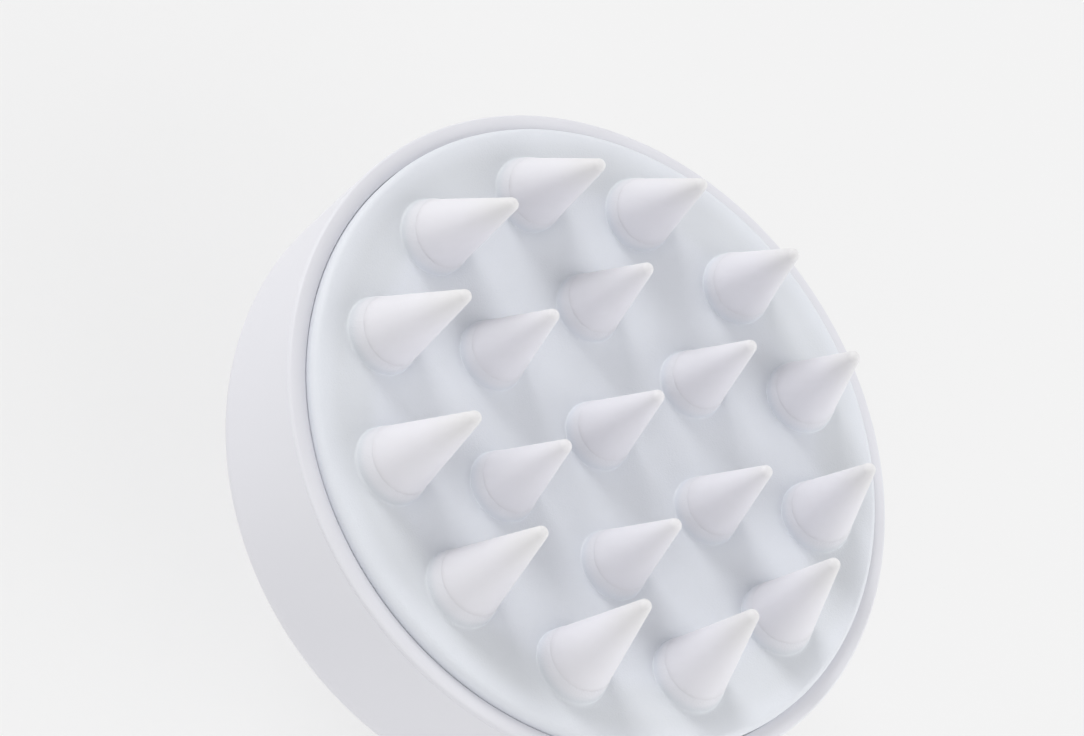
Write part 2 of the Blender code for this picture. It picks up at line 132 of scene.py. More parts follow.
# Grain and cloud of moulded surfaces, and where the silicone changes its tint: on the sleeves in shares
# of their height, and on the cones in heights above the rim, where the tips turn warmer and take painted
# shade
CLOUD_DETAIL = 2.0
GRAIN_DETAIL = 3.0
GRAIN_LOW = 0.3
GRAIN_HIGH = 0.7
GLOSS_SPREAD = 0.05
SLEEVE_TINT_START = 0.1
SLEEVE_TINT_END = 0.8
TIP_TINT_SHADE_START = 8.0 * MM
TIP_TINT_SHADE_END = 15.0 * MM

# Floor and camera of the studio, the sensor's width in millimetres
FLOOR_ROUGHNESS = 0.9
SENSOR_WIDTH = 36.0
CLIP_START = 0.01


def linear(code):
    """Linear RGBA of an sRGB hex colour."""
    values = [int(code[index:index + 2], 16) / 255 for index in (1, 3, 5)]
    return [v / 12.92 if v <= 0.04045 else ((v + 0.055) / 1.055) ** 2.4 for v in values] + [1.0]


def colour_property(name, description, code):
    """Colour property with an sRGB hex default."""
    return FloatVectorProperty(name=name, description=description, subtype="COLOR", size=4,
                               min=0.0, max=1.0, default=linear(code))


def length_property(name, description, default):
    """Length property in metres."""
    return FloatProperty(name=name, description=description, default=default, unit="LENGTH", precision=5)


def angle_property(name, description, degrees):
    """Angle property with its default in degrees."""
    return FloatProperty(name=name, description=description, default=math.radians(degrees), subtype="ANGLE")


def strength_property(name, description, default):
    """Strength property of a light."""
    return FloatProperty(name=name, description=description, default=default, min=0.0)


class BrushShape(bpy.types.PropertyGroup):
    """Sizes of the brush's visible forms"""
    housing_radius: length_property("Housing radius", "Outside of the cup", HOUSING_HIGH.x)
    housing_wall: length_property("Housing wall", "Width of the rim", 2.15 * MM)
    housing_floor: length_property("Housing floor", "Thickness of the cup's back", 2.2 * MM)
    back_edge: length_property("Back edge", "Radius of the rounded back edge", 5.7 * MM)
    rim_outer_round: length_property("Rim outer round", "Round on the rim's outer edge", 0.4 * MM)
    rim_inner_round: length_property("Rim inner round", "Round on the rim's inner edge", 0.15 * MM)
    rim_fall: angle_property("Rim fall", "Slope of the crowned rim at its inner edge", 24)
    rim_rise: angle_property("Rim rise", "Slope of the crowned rim at its outer edge", 6)
    mould_line: length_property("Mould line", "Depth of the fine line under the rim's outer round", 0.07 * MM)
    seat_height: length_property("Seat height", "Top of the ribs that the head sits on", 33.9 * MM)
    screw_circle: length_property("Screw circle", "Distance of the screws from the axis", 9.45 * MM)
    screw_hole: length_property("Screw hole", "Radius of a screw's hole", 1.55 * MM)
    pad_radius: length_property("Pad radius", "Outside of the soft pad", PAD_HIGH.x + 0.09 * MM)
    pad_skin: length_property("Pad skin", "Thickness of the soft pad", 2.8 * MM)
    pad_roll: length_property("Pad roll", "Radius of the pad's rolled edge", 0.95 * MM)
    pad_crest: length_property("Pad crest", "Width of the crest between dish and rolled edge", 1.2 * MM)
    skirt_wall: length_property("Skirt wall", "Thickness of the pad's skirt", 2.09 * MM)
    # Band of painted shade on the pad inside its rolled edge: where it starts and how wide it is
    painted_shade_radius: length_property("Border radius", "Radius where the pad's skin starts to grey", 28.8 * MM)
    border_width: length_property("Border width", "Width of the greyer skin", 5.4 * MM)
    dish_radius: length_property("Dish radius", "Radius of the pad's hollow", 210 * MM)
    dish_depth: length_property("Dish depth", "Middle of the pad below the rim", 1.9 * MM)
    inner_ring: length_property("Inner ring", "Radius of the inner ring of cones", 15.8 * MM)
    outer_ring: length_property("Outer ring", "Radius of the outer ring of cones", 29.5 * MM)
    inner_lean: angle_property("Inner lean", "Lean of the inner ring's cones towards the axis", 2.2)
    outer_lean: angle_property("Outer lean", "Lean of the outer ring's cones towards the axis", 10.8)
    inner_cone: length_property("Inner cone", "Height of the inner cones", 13.6 * MM)
    outer_cone: length_property("Outer cone", "Height of the outer cones", 15.08 * MM)
    inner_foot: length_property("Inner foot", "Radius of an inner cone at its foot", 4.0 * MM)
    outer_foot: length_property("Outer foot", "Radius of an outer cone at its foot", 4.3 * MM)
    cone_tip: length_property("Cone tip", "Radius of a cone's tip", 0.8 * MM)
    cone_waist: length_property("Cone waist", "Height above the pad where a cone starts to taper", 0.9 * MM)
    flange_width: length_property("Flange width", "Reach of a cone's flange behind the pad", 0.9 * MM)
    flange_top: length_property("Flange top", "Top of a cone's flange under the pad's face", -1.6 * MM)
    flange_foot: length_property("Flange foot", "Foot of a cone's flange under the pad's face", -2.6 * MM)
    pocket_gap: length_property("Pocket gap", "Room round a cone's flange", 0.3 * MM)
    sleeve_height: length_property("Sleeve height", "Rise of the pad's sleeve round a cone", 2.0 * MM)
    sleeve_side: angle_property("Sleeve side", "Rise angle at the foot of the sleeve's rounded side", 85)
    sleeve_crown: angle_property("Sleeve crown", "Rise angle where the sleeve's side meets the cone", 66)
    sleeve_fillet: length_property("Sleeve fillet", "Fillet between the sleeve and the pad", 0.25 * MM)
    sleeve_gap: length_property("Sleeve gap", "Fine gap between a sleeve and its cone", 0.004 * MM)
    neck_radius: length_property("Neck radius", "Radius of the knob's neck", 14.5 * MM)
    neck_length: length_property("Neck length", "Length of the knob's neck", 5.0 * MM)
    neck_flare: length_property("Neck flare", "Round where the neck meets the housing", 1.5 * MM)
    belly_height: length_property("Belly height", "Height of the knob's widest place", 6.5 * MM)
    knob_foot: length_property("Knob foot", "Radius of the knob's foot", 19.3 * MM)
    cap_recess: length_property("Cap recess", "Radius of the recess for the cap", 17.3 * MM)


class BrushColours(bpy.types.PropertyGroup):
    """Colours of the brush's materials"""
    housing: colour_property("Housing", "White ABS of the housing and knob", "#E3E3E8")
    housing_shade: colour_property("Housing shade", "Faint cloud in the white ABS", "#DEDEE4")
    pad: colour_property("Pad", "Cool white silicone of the pad", "#DFE2E8")
    pad_shade: colour_property("Pad shade", "Faint cloud in the pad", "#DADDE4")
    # Painted shade: the greyer colour of the band inside the pad's rolled edge
    pad_painted_shade: colour_property("Pad border", "Greyer skin inside the pad's rolled edge", "#D8DBE0")
    sleeve: colour_property("Sleeve", "Thin silicone of the sleeves, with the cones behind it", "#E0E0E5")
    cone: colour_property("Cone", "White silicone of the cones", "#E5E4E9")
    cone_shade: colour_property("Cone shade", "Faint cloud in the cones", "#E0DFE4")
    # Cone tip colour: the silicone's warmer tint at the tips, made darker as painted shade
    cone_tip: colour_property("Cone tip", "Warmer white at the thin tips of the cones", "#DFDEDF")
    carrier: colour_property("Carrier", "White ABS of the plate behind the pad", "#DEDEE2")
    steel: colour_property("Screws", "Zinc-plated steel", "#B8B8BC")
    steel_shade: colour_property("Screw shade", "Duller zinc", "#A6A6AC")
    floor: colour_property("Floor", "Pale studio floor", "#F2F2F2")


class BrushStage(bpy.types.PropertyGroup):
    """Camera and light of the studio"""
    azimuth: angle_property("Azimuth", "Camera's turn about the brush", 6.63)
    elevation: angle_property("Elevation", "Camera's height angle", 51.32)
    roll: angle_property("Roll", "Camera's turn about its own view", 54.61)
    distance: length_property("Distance", "Camera's distance from its aim", 305.3 * MM)
    aim: FloatVectorProperty(
        name="Aim", description="Point on the rim's plane in the middle of the picture",
        default=(-9.715 * MM, -3.43 * MM, RIM_HEIGHT), subtype="XYZ_LENGTH", precision=5)
    lens: FloatProperty(
        name="Lens", description="Focal length on a 36 mm sensor", default=89.07, unit="CAMERA")
    key_azimuth: angle_property("Key azimuth", "Turn of the key light about the brush", -92)
    key_elevation: angle_property("Key elevation", "Height angle of the key light", 27)
    key_spread: angle_property("Key spread", "Angle that the key light's face fills", 26)
    key_strength: strength_property("Key strength", "Strength of the key light", 1.33)
    front_azimuth: angle_property("Front azimuth", "Turn of the front light about the brush", 2)
    front_elevation: angle_property("Front elevation", "Height angle of the front light", 25)
    front_spread: angle_property("Front spread", "Angle that the front light's face fills", 50)
    front_strength: strength_property("Front strength", "Strength of the front light", 0.39)
    side_azimuth: angle_property("Side azimuth", "Turn of the side light about the brush", 95)
    side_elevation: angle_property("Side elevation", "Height angle of the side light", 38)
    side_spread: angle_property("Side spread", "Angle that the side light's face fills", 50)
    side_strength: strength_property("Side strength", "Strength of the side light", 0.55)
    back_azimuth: angle_property("Back azimuth", "Turn of the back light about the brush", 140)
    back_elevation: angle_property("Back elevation", "Height angle of the back light", 15)
    back_spread: angle_property("Back spread", "Angle that the back light's face fills", 50)
    back_strength: strength_property("Back strength", "Strength of the back light", 0.96)
    world_strength: strength_property("World strength", "Strength of the light from all round", 0.61)
    floor_glow: FloatProperty(
        name="Floor glow", description="Share of the floor's own paleness in what the camera sees",
        default=0.7, subtype="FACTOR", min=0.0, max=1.0)
    floor_size: length_property("Floor size", "Width of the studio floor", 6.0)


def add_node(tree, kind, settings=None, links=None):
    """Node of a kind with its settings, and its sockets linked or set by name."""
    node = tree.nodes.new(kind)
    for key, value in (settings or {}).items():
        setattr(node, key, value)
    for key, value in (links or {}).items():
        socket = node.inputs[key]
        if isinstance(value, bpy.types.NodeSocket):
            tree.links.new(value, socket)
        else:
            socket.default_value = value
    return node


def moulded_material(name, colour, shade, roughness, grain_mm, grain_depth_mm, cloud_mm, metallic=0.0,
                     subsurface=0.0, subsurface_mm=0.0):
    """Moulded surface: faint clouds in its colour, and the mould's fine grain in its gloss and relief."""
    material = bpy.data.materials.new(name)
    material.use_nodes = True
    tree = material.node_tree
    shader = tree.nodes["Principled BSDF"]
    place = add_node(tree, "ShaderNodeTexCoord").outputs["Object"]
    cloud = add_node(tree, "ShaderNodeTexNoise",
                     links={"Vector": place, "Scale": 1 / (cloud_mm * MM), "Detail": CLOUD_DETAIL})
    tint = add_node(tree, "ShaderNodeMix", {"data_type": "RGBA"},
                    {"Factor": cloud.outputs["Fac"], "A": colour, "B": shade})
    grain = add_node(tree, "ShaderNodeTexNoise",
                     links={"Vector": place, "Scale": 1 / (grain_mm * MM), "Detail": GRAIN_DETAIL})
    gloss = add_node(tree, "ShaderNodeMapRange",
                     links={"Value": grain.outputs["Fac"], "From Min": GRAIN_LOW, "From Max": GRAIN_HIGH,
                            "To Min": roughness - GLOSS_SPREAD, "To Max": roughness + GLOSS_SPREAD})
    bump = add_node(tree, "ShaderNodeBump",
                    links={"Height": grain.outputs["Fac"], "Distance": grain_depth_mm * MM, "Strength": 1.0})
    tree.links.new(tint.outputs["Result"], shader.inputs["Base Color"])
    tree.links.new(gloss.outputs["Result"], shader.inputs["Roughness"])
    tree.links.new(bump.outputs["Normal"], shader.inputs["Normal"])
    shader.inputs["Metallic"].default_value = metallic
    shader.inputs["Subsurface Weight"].default_value = subsurface
    shader.inputs["Subsurface Scale"].default_value = subsurface_mm * MM
    shader.inputs["Subsurface Radius"].default_value = (1.0, 1.0, 1.0)
    return material


def blend_colour(material, colour, value, start, end):
    """Blends a material's colour into another as a value goes from a start to an end."""
    tree = material.node_tree
    shader = tree.nodes["Principled BSDF"]
    below = shader.inputs["Base Color"].links[0].from_socket
    share = add_node(tree, "ShaderNodeMapRange", {"interpolation_type": "SMOOTHSTEP"},
                     {"Value": value, "From Min": start, "From Max": end})
    blend = add_node(tree, "ShaderNodeMix", {"data_type": "RGBA"},
                     {"Factor": share.outputs["Result"], "A": below, "B": colour})
    tree.links.new(blend.outputs["Result"], shader.inputs["Base Color"])


def tint_and_shade_tips(material, colour, low, high):
    """Blends a material's colour between two heights into a warmer, darker tip colour: the warmth is the thin
    silicone's own tint, the darkening is painted shade on the tips.
    """
    tree = material.node_tree
    place = add_node(tree, "ShaderNodeTexCoord").outputs["Object"]
    height = add_node(tree, "ShaderNodeSeparateXYZ", links={"Vector": place}).outputs["Z"]
    blend_colour(material, colour, height, low, high)


def tint_sleeves(material, colour, shape):
    """Lets the cones' colour show through the pad where its sleeves rise off the dish and grow thin."""
    tree = material.node_tree
    place = add_node(tree, "ShaderNodeTexCoord").outputs["Object"]
    middle = (0.0, 0.0, dish_height(shape, 0.0, (0.0, 0.0)) + shape.dish_radius)
    reach = add_node(tree, "ShaderNodeVectorMath", {"operation": "DISTANCE"}, {0: place, 1: middle})
    blend_colour(material, colour, reach.outputs["Value"],
                 shape.dish_radius - SLEEVE_TINT_START * shape.sleeve_height,
                 shape.dish_radius - SLEEVE_TINT_END * shape.sleeve_height)


def paint_border_shade(material, painted_shade, edge, shape):
    """Paints shade on the pad: a greyer band inside its rolled edge, which blends back to the pad's colour on
    the roll.
    """
    tree = material.node_tree
    place = add_node(tree, "ShaderNodeTexCoord").outputs["Object"]
    flat = add_node(tree, "ShaderNodeVectorMath", {"operation": "MULTIPLY"}, {0: place, 1: (1.0, 1.0, 0.0)})
    reach = add_node(tree, "ShaderNodeVectorMath", {"operation": "LENGTH"}, {0: flat.outputs["Vector"]})
    fade = shape.border_width / 2
    end = shape.painted_shade_radius + shape.border_width
    blend_colour(material, painted_shade, reach.outputs["Value"], shape.painted_shade_radius, shape.painted_shade_radius + fade)
    blend_colour(material, edge, reach.outputs["Value"], end, end + fade)


def arc(centre, radius, start, end, steps):
    """Points of an arc in the (radius, height) plane, angles in degrees, without its first point."""
    points = []
    for step in range(1, steps + 1):
        angle = math.radians(start + (end - start) * step / steps)
        points.append((centre[0] + radius * math.cos(angle), centre[1] + radius * math.sin(angle)))
    return points


def straight(start, end, steps):
    """Points of a straight line in the (radius, height) plane, without its first point."""
    points = []
    for step in range(1, steps + 1):
        points.append((start[0] + (end[0] - start[0]) * step / steps,
                       start[1] + (end[1] - start[1]) * step / steps))
    return points


def clean_mesh(obj):
    """Merges doubled points of an object and turns its faces outwards."""
    select_only(obj)
    bpy.ops.object.mode_set(mode="EDIT")
    bpy.ops.mesh.select_all(action="SELECT")
    bpy.ops.mesh.remove_doubles(threshold=MERGE_DISTANCE)
    bpy.ops.mesh.normals_make_consistent(inside=False)
    bpy.ops.object.mode_set(mode="OBJECT")


def select_only(obj):
    """Selects one object and makes it the active one."""
    bpy.ops.object.select_all(action="DESELECT")
    bpy.context.view_layer.objects.active = obj
    obj.select_set(True)


def turned_piece(name, profile, steps):
    """Piece turned about Z: a point is extruded along the profile, and the line is spun all the way round."""
    bpy.ops.object.select_all(action="DESELECT")
    bpy.ops.mesh.primitive_plane_add(size=MM)
    obj = bpy.context.object
    obj.name = name
    bpy.ops.object.mode_set(mode="EDIT")
    bpy.ops.mesh.select_all(action="SELECT")
    bpy.ops.mesh.merge(type="CENTER")
    spots = [Vector((radius, 0.0, height)) for radius, height in profile]
    bpy.ops.transform.translate(value=spots[0])
    for last, spot in zip(spots, spots[1:]):
        bpy.ops.mesh.extrude_region_move(TRANSFORM_OT_translate={"value": spot - last})
    bpy.ops.mesh.select_all(action="SELECT")
    bpy.ops.mesh.spin(steps=steps, angle=2 * math.pi, center=(0, 0, 0), axis=(0, 0, 1))
    bpy.ops.object.mode_set(mode="OBJECT")
    clean_mesh(obj)
    return obj


def placed_copies(obj, places):
    """Copies of a modelled piece, one at each place, with the place put in each copy's mesh."""
    copies = []
    for place in places:
        select_only(obj)
        bpy.ops.object.duplicate()
        copy = bpy.context.object
        copy.matrix_world = place
        bpy.ops.object.transform_apply(location=True, rotation=True, scale=True)
        copies.append(copy)
    bpy.data.objects.remove(obj, do_unlink=True)
    return copies


def join_pieces(pieces):
    """One object joined from several."""
    bpy.ops.object.select_all(action="DESELECT")
    for piece in pieces:
        piece.select_set(True)
    bpy.context.view_layer.objects.active = pieces[0]
    bpy.ops.object.join()
    return bpy.context.object


def apply_boolean(obj, tool, operation):
    """Joins a tool to an object or cuts it away, and removes the tool."""
    select_only(obj)
    boolean = obj.modifiers.new("boolean", "BOOLEAN")
    boolean.operation = operation
    boolean.solver = "EXACT"
    boolean.object = tool
    bpy.ops.object.modifier_apply(modifier=boolean.name)
    bpy.data.objects.remove(tool, do_unlink=True)
    clean_mesh(obj)


def round_tools(shape, radius, foot, top):
    """Plain round bars at the places of the screws."""
    bar = turned_piece("bar", [(0.0, foot), (radius, foot), (radius, top), (0.0, top)], SCREW_STEPS)
    out = Matrix.Translation((shape.screw_circle, 0.0, 0.0))
    return join_pieces(placed_copies(bar, [turn @ out for turn in around(SCREW_COUNT, SCREW_ANGLE)]))


def finish_piece(obj, material, body, node):
    """Shades a piece, gives it its material, sets it on its body and lets it stand for its CAD node."""
    select_only(obj)
    bpy.ops.object.shade_smooth_by_angle(angle=SMOOTH_ANGLE)
    obj.data.materials.clear()
    obj.data.materials.append(material)
    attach(obj, body)
    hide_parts(node)


def dress_node(name, material):
    """Gives a CAD node that stays in the picture its material."""
    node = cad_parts[name]
    node.data.materials.clear()
    node.data.materials.append(material)


def around(count, first_angle=0.0):
    """Turns about Z that spread copies evenly, the first at an angle in degrees."""
    return [Matrix.Rotation(math.radians(first_angle) + 2 * math.pi * index / count, 4, "Z")
            for index in range(count)]


def dish_height(shape, depth, spot):
    """Height of the pad's dished face, or of a surface at a depth below it, at a spot's x and y."""
    centre = RIM_HEIGHT - shape.dish_depth + shape.dish_radius
    return centre - math.sqrt((shape.dish_radius + depth) ** 2 - spot[0] ** 2 - spot[1] ** 2)


def cone_seats(shape):
    """Frames of the cones on the dish, each with its node's name and its cone's height and foot radius."""
    inner = (shape.inner_ring, shape.inner_lean, shape.inner_cone, shape.inner_foot)
    outer = (shape.outer_ring, shape.outer_lean, shape.outer_cone, shape.outer_foot)
    plan = [("cone_centre", Matrix.Identity(4), 0.0, 0.0, shape.inner_cone, shape.inner_foot)]
    for index, turn in enumerate(around(INNER_CONE_COUNT, INNER_CONE_ANGLE)):
        plan.append((f"cone_inner_{index + 1}", turn, *inner))
    for index, turn in enumerate(around(OUTER_CONE_COUNT, OUTER_CONE_ANGLE)):
        plan.append((f"cone_outer_{index + 1:02d}", turn, *outer))
    seats = []
    for name, turn, radius, lean, height, foot in plan:
        spot = Matrix.Translation((radius, 0.0, dish_height(shape, 0.0, (radius, 0.0))))
        seats.append((name, turn @ spot @ Matrix.Rotation(-lean, 4, "Y"), height, foot))
    return seats


def cone_taper(shape, height, foot):
    """Half angle of a cone between its foot and its round tip."""
    rise = height - shape.cone_tip - shape.cone_waist
    return math.atan2(foot, rise) - math.asin(shape.cone_tip / math.hypot(foot, rise))


def cone_radius(shape, height, foot, level):
    """Radius of a cone at a level on its straight side."""
    return foot - (level - shape.cone_waist) * math.tan(cone_taper(shape, height, foot))


def sleeve_outline(shape, height, foot):
    """Outside of a sleeve from the pad's face up to the cone: a fillet and a rounded side."""
    side = shape.sleeve_side
    crown = shape.sleeve_crown
    fillet = shape.sleeve_fillet
    fillet_top = fillet * (1 - math.cos(side))
    swell = (shape.sleeve_height - fillet_top) / (math.cos(crown) - math.cos(side))
    lip = cone_radius(shape, height, foot, shape.sleeve_height) + shape.sleeve_gap
    middle = (lip - swell * math.sin(crown), shape.sleeve_height - swell * math.cos(crown))
    ring = middle[0] + (swell + fillet) * math.sin(side)
    side_angle = math.degrees(side)
    crown_angle = math.degrees(crown)
    outline = [(ring, 0.0)]
    outline += arc((ring, fillet), fillet, 270, 270 - side_angle, SLEEVE_FILLET_STEPS)
    return outline + arc(middle, swell, 90 - side_angle, 90 - crown_angle, SLEEVE_SIDE_STEPS)


def sleeve_ring(shape, height, foot):
    """Radius at which a sleeve's fillet ends on the pad's face."""
    return sleeve_outline(shape, height, foot)[0][0]


def pocket_radius(shape, height, foot):
    """Radius of the pocket behind the pad for a cone's flange, the same for cones of any height."""
    return foot + shape.flange_width + shape.pocket_gap


def sleeve_piece(shape, seat, height, foot):
    """Sleeve round one cone's foot: its outside, its bore and the pocket behind the pad."""
    hole = foot + shape.sleeve_gap
    pocket = pocket_radius(shape, height, foot)
    pocket_top = shape.flange_top + shape.pocket_gap
    profile = sleeve_outline(shape, height, foot)
    profile += [(hole, shape.cone_waist), (hole, pocket_top)]
    profile += [(pocket, pocket_top), (pocket, -shape.pad_skin)]
    sleeve = turned_piece("pad_sleeve", profile, CONE_STEPS)
    lay_on_dish(sleeve, shape, seat, foot, sleeve_ring(shape, height, foot))
    return sleeve


def lay_on_dish(sleeve, shape, seat, foot, ring):
    """Sets a sleeve on its seat and bends its foot and its back onto the pad's two faces."""
    axis = seat.col[2].xyz
    for vert in sleeve.data.vertices:
        radius = math.hypot(vert.co.x, vert.co.y)
        height = vert.co.z
        spot = seat @ vert.co
        if height >= 0.0:
            offset = spot - seat.translation
            plane = seat.translation.z - (axis.x * offset.x + axis.y * offset.y) / axis.z
            share = min(max((radius - foot) / (ring - foot), 0.0), 1.0)
            spot.z += share * (dish_height(shape, 0.0, spot) - plane)
        elif height < shape.flange_foot:
            spot.z = dish_height(shape, shape.pad_skin, spot)
        vert.co = spot


def dish_sheet(shape, name, depth, edge_radius, ring_radius):
    """Sheet on the dish with a round hole for each cone.

    Its circles are flattened and filled at a thousand times the size, where the fill's own tolerance is
    small. The sheet is then cut finer and laid on the dish.
    """
    bpy.ops.object.select_all(action="DESELECT")
    bpy.ops.mesh.primitive_circle_add(vertices=BODY_STEPS, radius=edge_radius)
    obj = bpy.context.object
    obj.name = name
    bpy.ops.object.mode_set(mode="EDIT")
    for _, seat, height, foot in cone_seats(shape):
        bpy.ops.mesh.primitive_circle_add(
            vertices=CONE_STEPS, radius=ring_radius(shape, height, foot),
            location=seat @ Vector((0.0, 0.0, -depth)), rotation=seat.to_euler())
    bpy.ops.mesh.select_all(action="SELECT")
    bpy.ops.transform.resize(value=(1 / MM, 1 / MM, 0.0), center_override=(0.0, 0.0, 0.0))
    bpy.ops.mesh.fill(use_beauty=True)
    bpy.ops.mesh.select_all(action="SELECT")
    bpy.ops.transform.resize(value=(MM, MM, 1.0), center_override=(0.0, 0.0, 0.0))
    mesh = bmesh.from_edit_mesh(obj.data)
    for item in mesh.edges:
        item.select_set(not item.is_boundary)
    bpy.ops.mesh.subdivide(number_cuts=SHEET_CUTS)
    mesh = bmesh.from_edit_mesh(obj.data)
    for vert in mesh.verts:
        vert.co.z = dish_height(shape, depth, vert.co)
    bmesh.update_edit_mesh(obj.data)
    bpy.ops.object.mode_set(mode="OBJECT")
    return obj


class BRUSH_OT_housing(bpy.types.Operator):
    """Models the white cup with its rim, rounded back edge, seat ribs, socket and screw bosses"""
    bl_idname = "brush.housing"
    bl_label = "Housing"

    def execute(self, context):
        shape = context.scene.brush_shape
        colours = context.scene.brush_colours
        bore = shape.housing_radius - shape.housing_wall
        corner = shape.back_edge - shape.housing_wall
        floor = BACK_HEIGHT + shape.housing_floor
        profile = self.outside(shape) + self.rim(shape, bore) + self.inside(bore, corner, floor)
        housing = turned_piece("housing_shell", profile, BODY_STEPS)
        apply_boolean(housing, self.seat_ribs(shape, bore - corner, floor), "UNION")
        bosses = round_tools(shape, shape.screw_hole + BOSS_WALL, floor - BOSS_SINK, BACK_HEIGHT + BOSS_TOP)
        apply_boolean(housing, bosses, "UNION")
        holes = round_tools(shape, shape.screw_hole, BACK_HEIGHT - CUT_REACH, BACK_HEIGHT + SCREW_HOLE_DEPTH)
        apply_boolean(housing, holes, "DIFFERENCE")
        material = moulded_material("moulded_white_abs", colours.housing, colours.housing_shade,
                                    roughness=0.45, grain_mm=0.25, grain_depth_mm=0.004, cloud_mm=18)
        finish_piece(housing, material, "housing", "housing_cup")
        return {"FINISHED"}

    def outside(self, shape):
        """Outline of the cup's back and its rounded back edge."""
        edge = shape.back_edge
        flat = shape.housing_radius - edge
        profile = [(0.0, BACK_HEIGHT), (flat, BACK_HEIGHT)]
        return profile + arc((flat, BACK_HEIGHT + edge), edge, -90, 0, BACK_EDGE_STEPS)

    def rim(self, shape, bore):
        """Outline of the mould line, the outer round, the crowned rim and its inner round."""
        outer = shape.housing_radius
        edge = shape.rim_outer_round
        line = shape.mould_line
        rise = shape.rim_rise
        fall = shape.rim_fall
        lip = shape.rim_inner_round
        crown_start = outer - edge * (1 - math.sin(rise))
        crown_end = bore + lip * (1 - math.sin(fall))
        crown = (crown_start - crown_end) / (math.sin(rise) + math.sin(fall))
        crown_middle = crown_start - crown * math.sin(rise)
        edge_height = RIM_HEIGHT - crown + (crown - edge) * math.cos(rise)
        lip_height = RIM_HEIGHT - crown + (crown - lip) * math.cos(fall)
        rise_angle = 90 - math.degrees(rise)
        fall_angle = 90 + math.degrees(fall)
        profile = [(outer, edge_height - 2 * line), (outer - line, edge_height - line), (outer, edge_height)]
        profile += arc((outer - edge, edge_height), edge, 0, rise_angle, RIM_EDGE_STEPS)
        profile += arc((crown_middle, RIM_HEIGHT - crown), crown, rise_angle, fall_angle, RIM_CROWN_STEPS)
        return profile + arc((bore + lip, lip_height), lip, fall_angle, 180, RIM_LIP_STEPS)

    def inside(self, bore, corner, floor):
        """Outline of the bore, its round corner and the socket on the cup's floor."""
        profile = [(bore, floor + corner)]
        profile += arc((bore - corner, floor + corner), corner, 0, -90, BORE_ROUND_STEPS)
        socket_outer = SOCKET_RADIUS + SOCKET_WALL
        socket_top = floor + SOCKET_HEIGHT
        profile += [(socket_outer, floor), (socket_outer, socket_top)]
        return profile + [(SOCKET_RADIUS, socket_top), (SOCKET_RADIUS, floor), (0.0, floor)]

    def seat_ribs(self, shape, corner, floor):
        """Upright ribs against the cup's wall that the head's carrier sits on."""
        inner = corner - SEAT_RIB_TOE
        outer = shape.housing_radius - SEAT_RIB_SETBACK
        foot = floor - SEAT_RIB_SINK
        size = (outer - inner, SEAT_RIB_THICKNESS, shape.seat_height - foot)
        middle = Matrix.Translation(((outer + inner) / 2, 0.0, (shape.seat_height + foot) / 2))
        bpy.ops.object.select_all(action="DESELECT")
        bpy.ops.mesh.primitive_cube_add(size=1.0, scale=size)
        rib = bpy.context.object
        bpy.ops.object.transform_apply(location=True, rotation=True, scale=True)
        return join_pieces(placed_copies(rib, [turn @ middle for turn in around(SEAT_RIB_COUNT)]))


class BRUSH_OT_pad(bpy.types.Operator):
    """Models the dished soft pad with its rolled edge, its skirt and a bored sleeve for each cone"""
    bl_idname = "brush.pad"
    bl_label = "Pad"

    def execute(self, context):
        shape = context.scene.brush_shape
        colours = context.scene.brush_colours
        pieces = [sleeve_piece(shape, *seat[1:]) for seat in cone_seats(shape)]
        roll_middle = shape.pad_radius - shape.pad_roll
        dish_edge = roll_middle - shape.pad_crest
        rise = math.asin(dish_edge / shape.dish_radius)
        crest = shape.pad_crest / math.sin(rise)
        crest_height = dish_height(shape, 0.0, (dish_edge, 0.0)) + crest * (1 - math.cos(rise))
        skirt_inner = shape.pad_radius - shape.skirt_wall
        edge = [(dish_edge, dish_height(shape, 0.0, (dish_edge, 0.0)))]
        edge += arc((roll_middle, crest_height - crest), crest, 90 + math.degrees(rise), 90, PAD_CREST_STEPS)
        edge += arc((roll_middle, crest_height - shape.pad_roll), shape.pad_roll, 90, 0, PAD_ROLL_STEPS)
        edge += [(shape.pad_radius, PAD_LOW.z), (skirt_inner, PAD_LOW.z)]
        edge += [(skirt_inner, dish_height(shape, shape.pad_skin, (skirt_inner, 0.0)))]
        pieces.append(turned_piece("pad_edge", edge, BODY_STEPS))
        pieces.append(dish_sheet(shape, "pad_face", 0.0, dish_edge, sleeve_ring))
        pieces.append(dish_sheet(shape, "pad_back", shape.pad_skin, skirt_inner, pocket_radius))
        pad = join_pieces(pieces)
        pad.name = "cushion_pad"
        clean_mesh(pad)
        material = moulded_material("satin_silicone", colours.pad, colours.pad_shade,
                                    roughness=0.57, grain_mm=0.2, grain_depth_mm=0.03, cloud_mm=12,
                                    subsurface=0.03, subsurface_mm=1.5)
        # Painted shade: a greyer band on the pad inside its rolled edge
        paint_border_shade(material, colours.pad_painted_shade, colours.pad, shape)
        tint_sleeves(material, colours.sleeve, shape)
        finish_piece(pad, material, "head", "massage_pad")
        return {"FINISHED"}


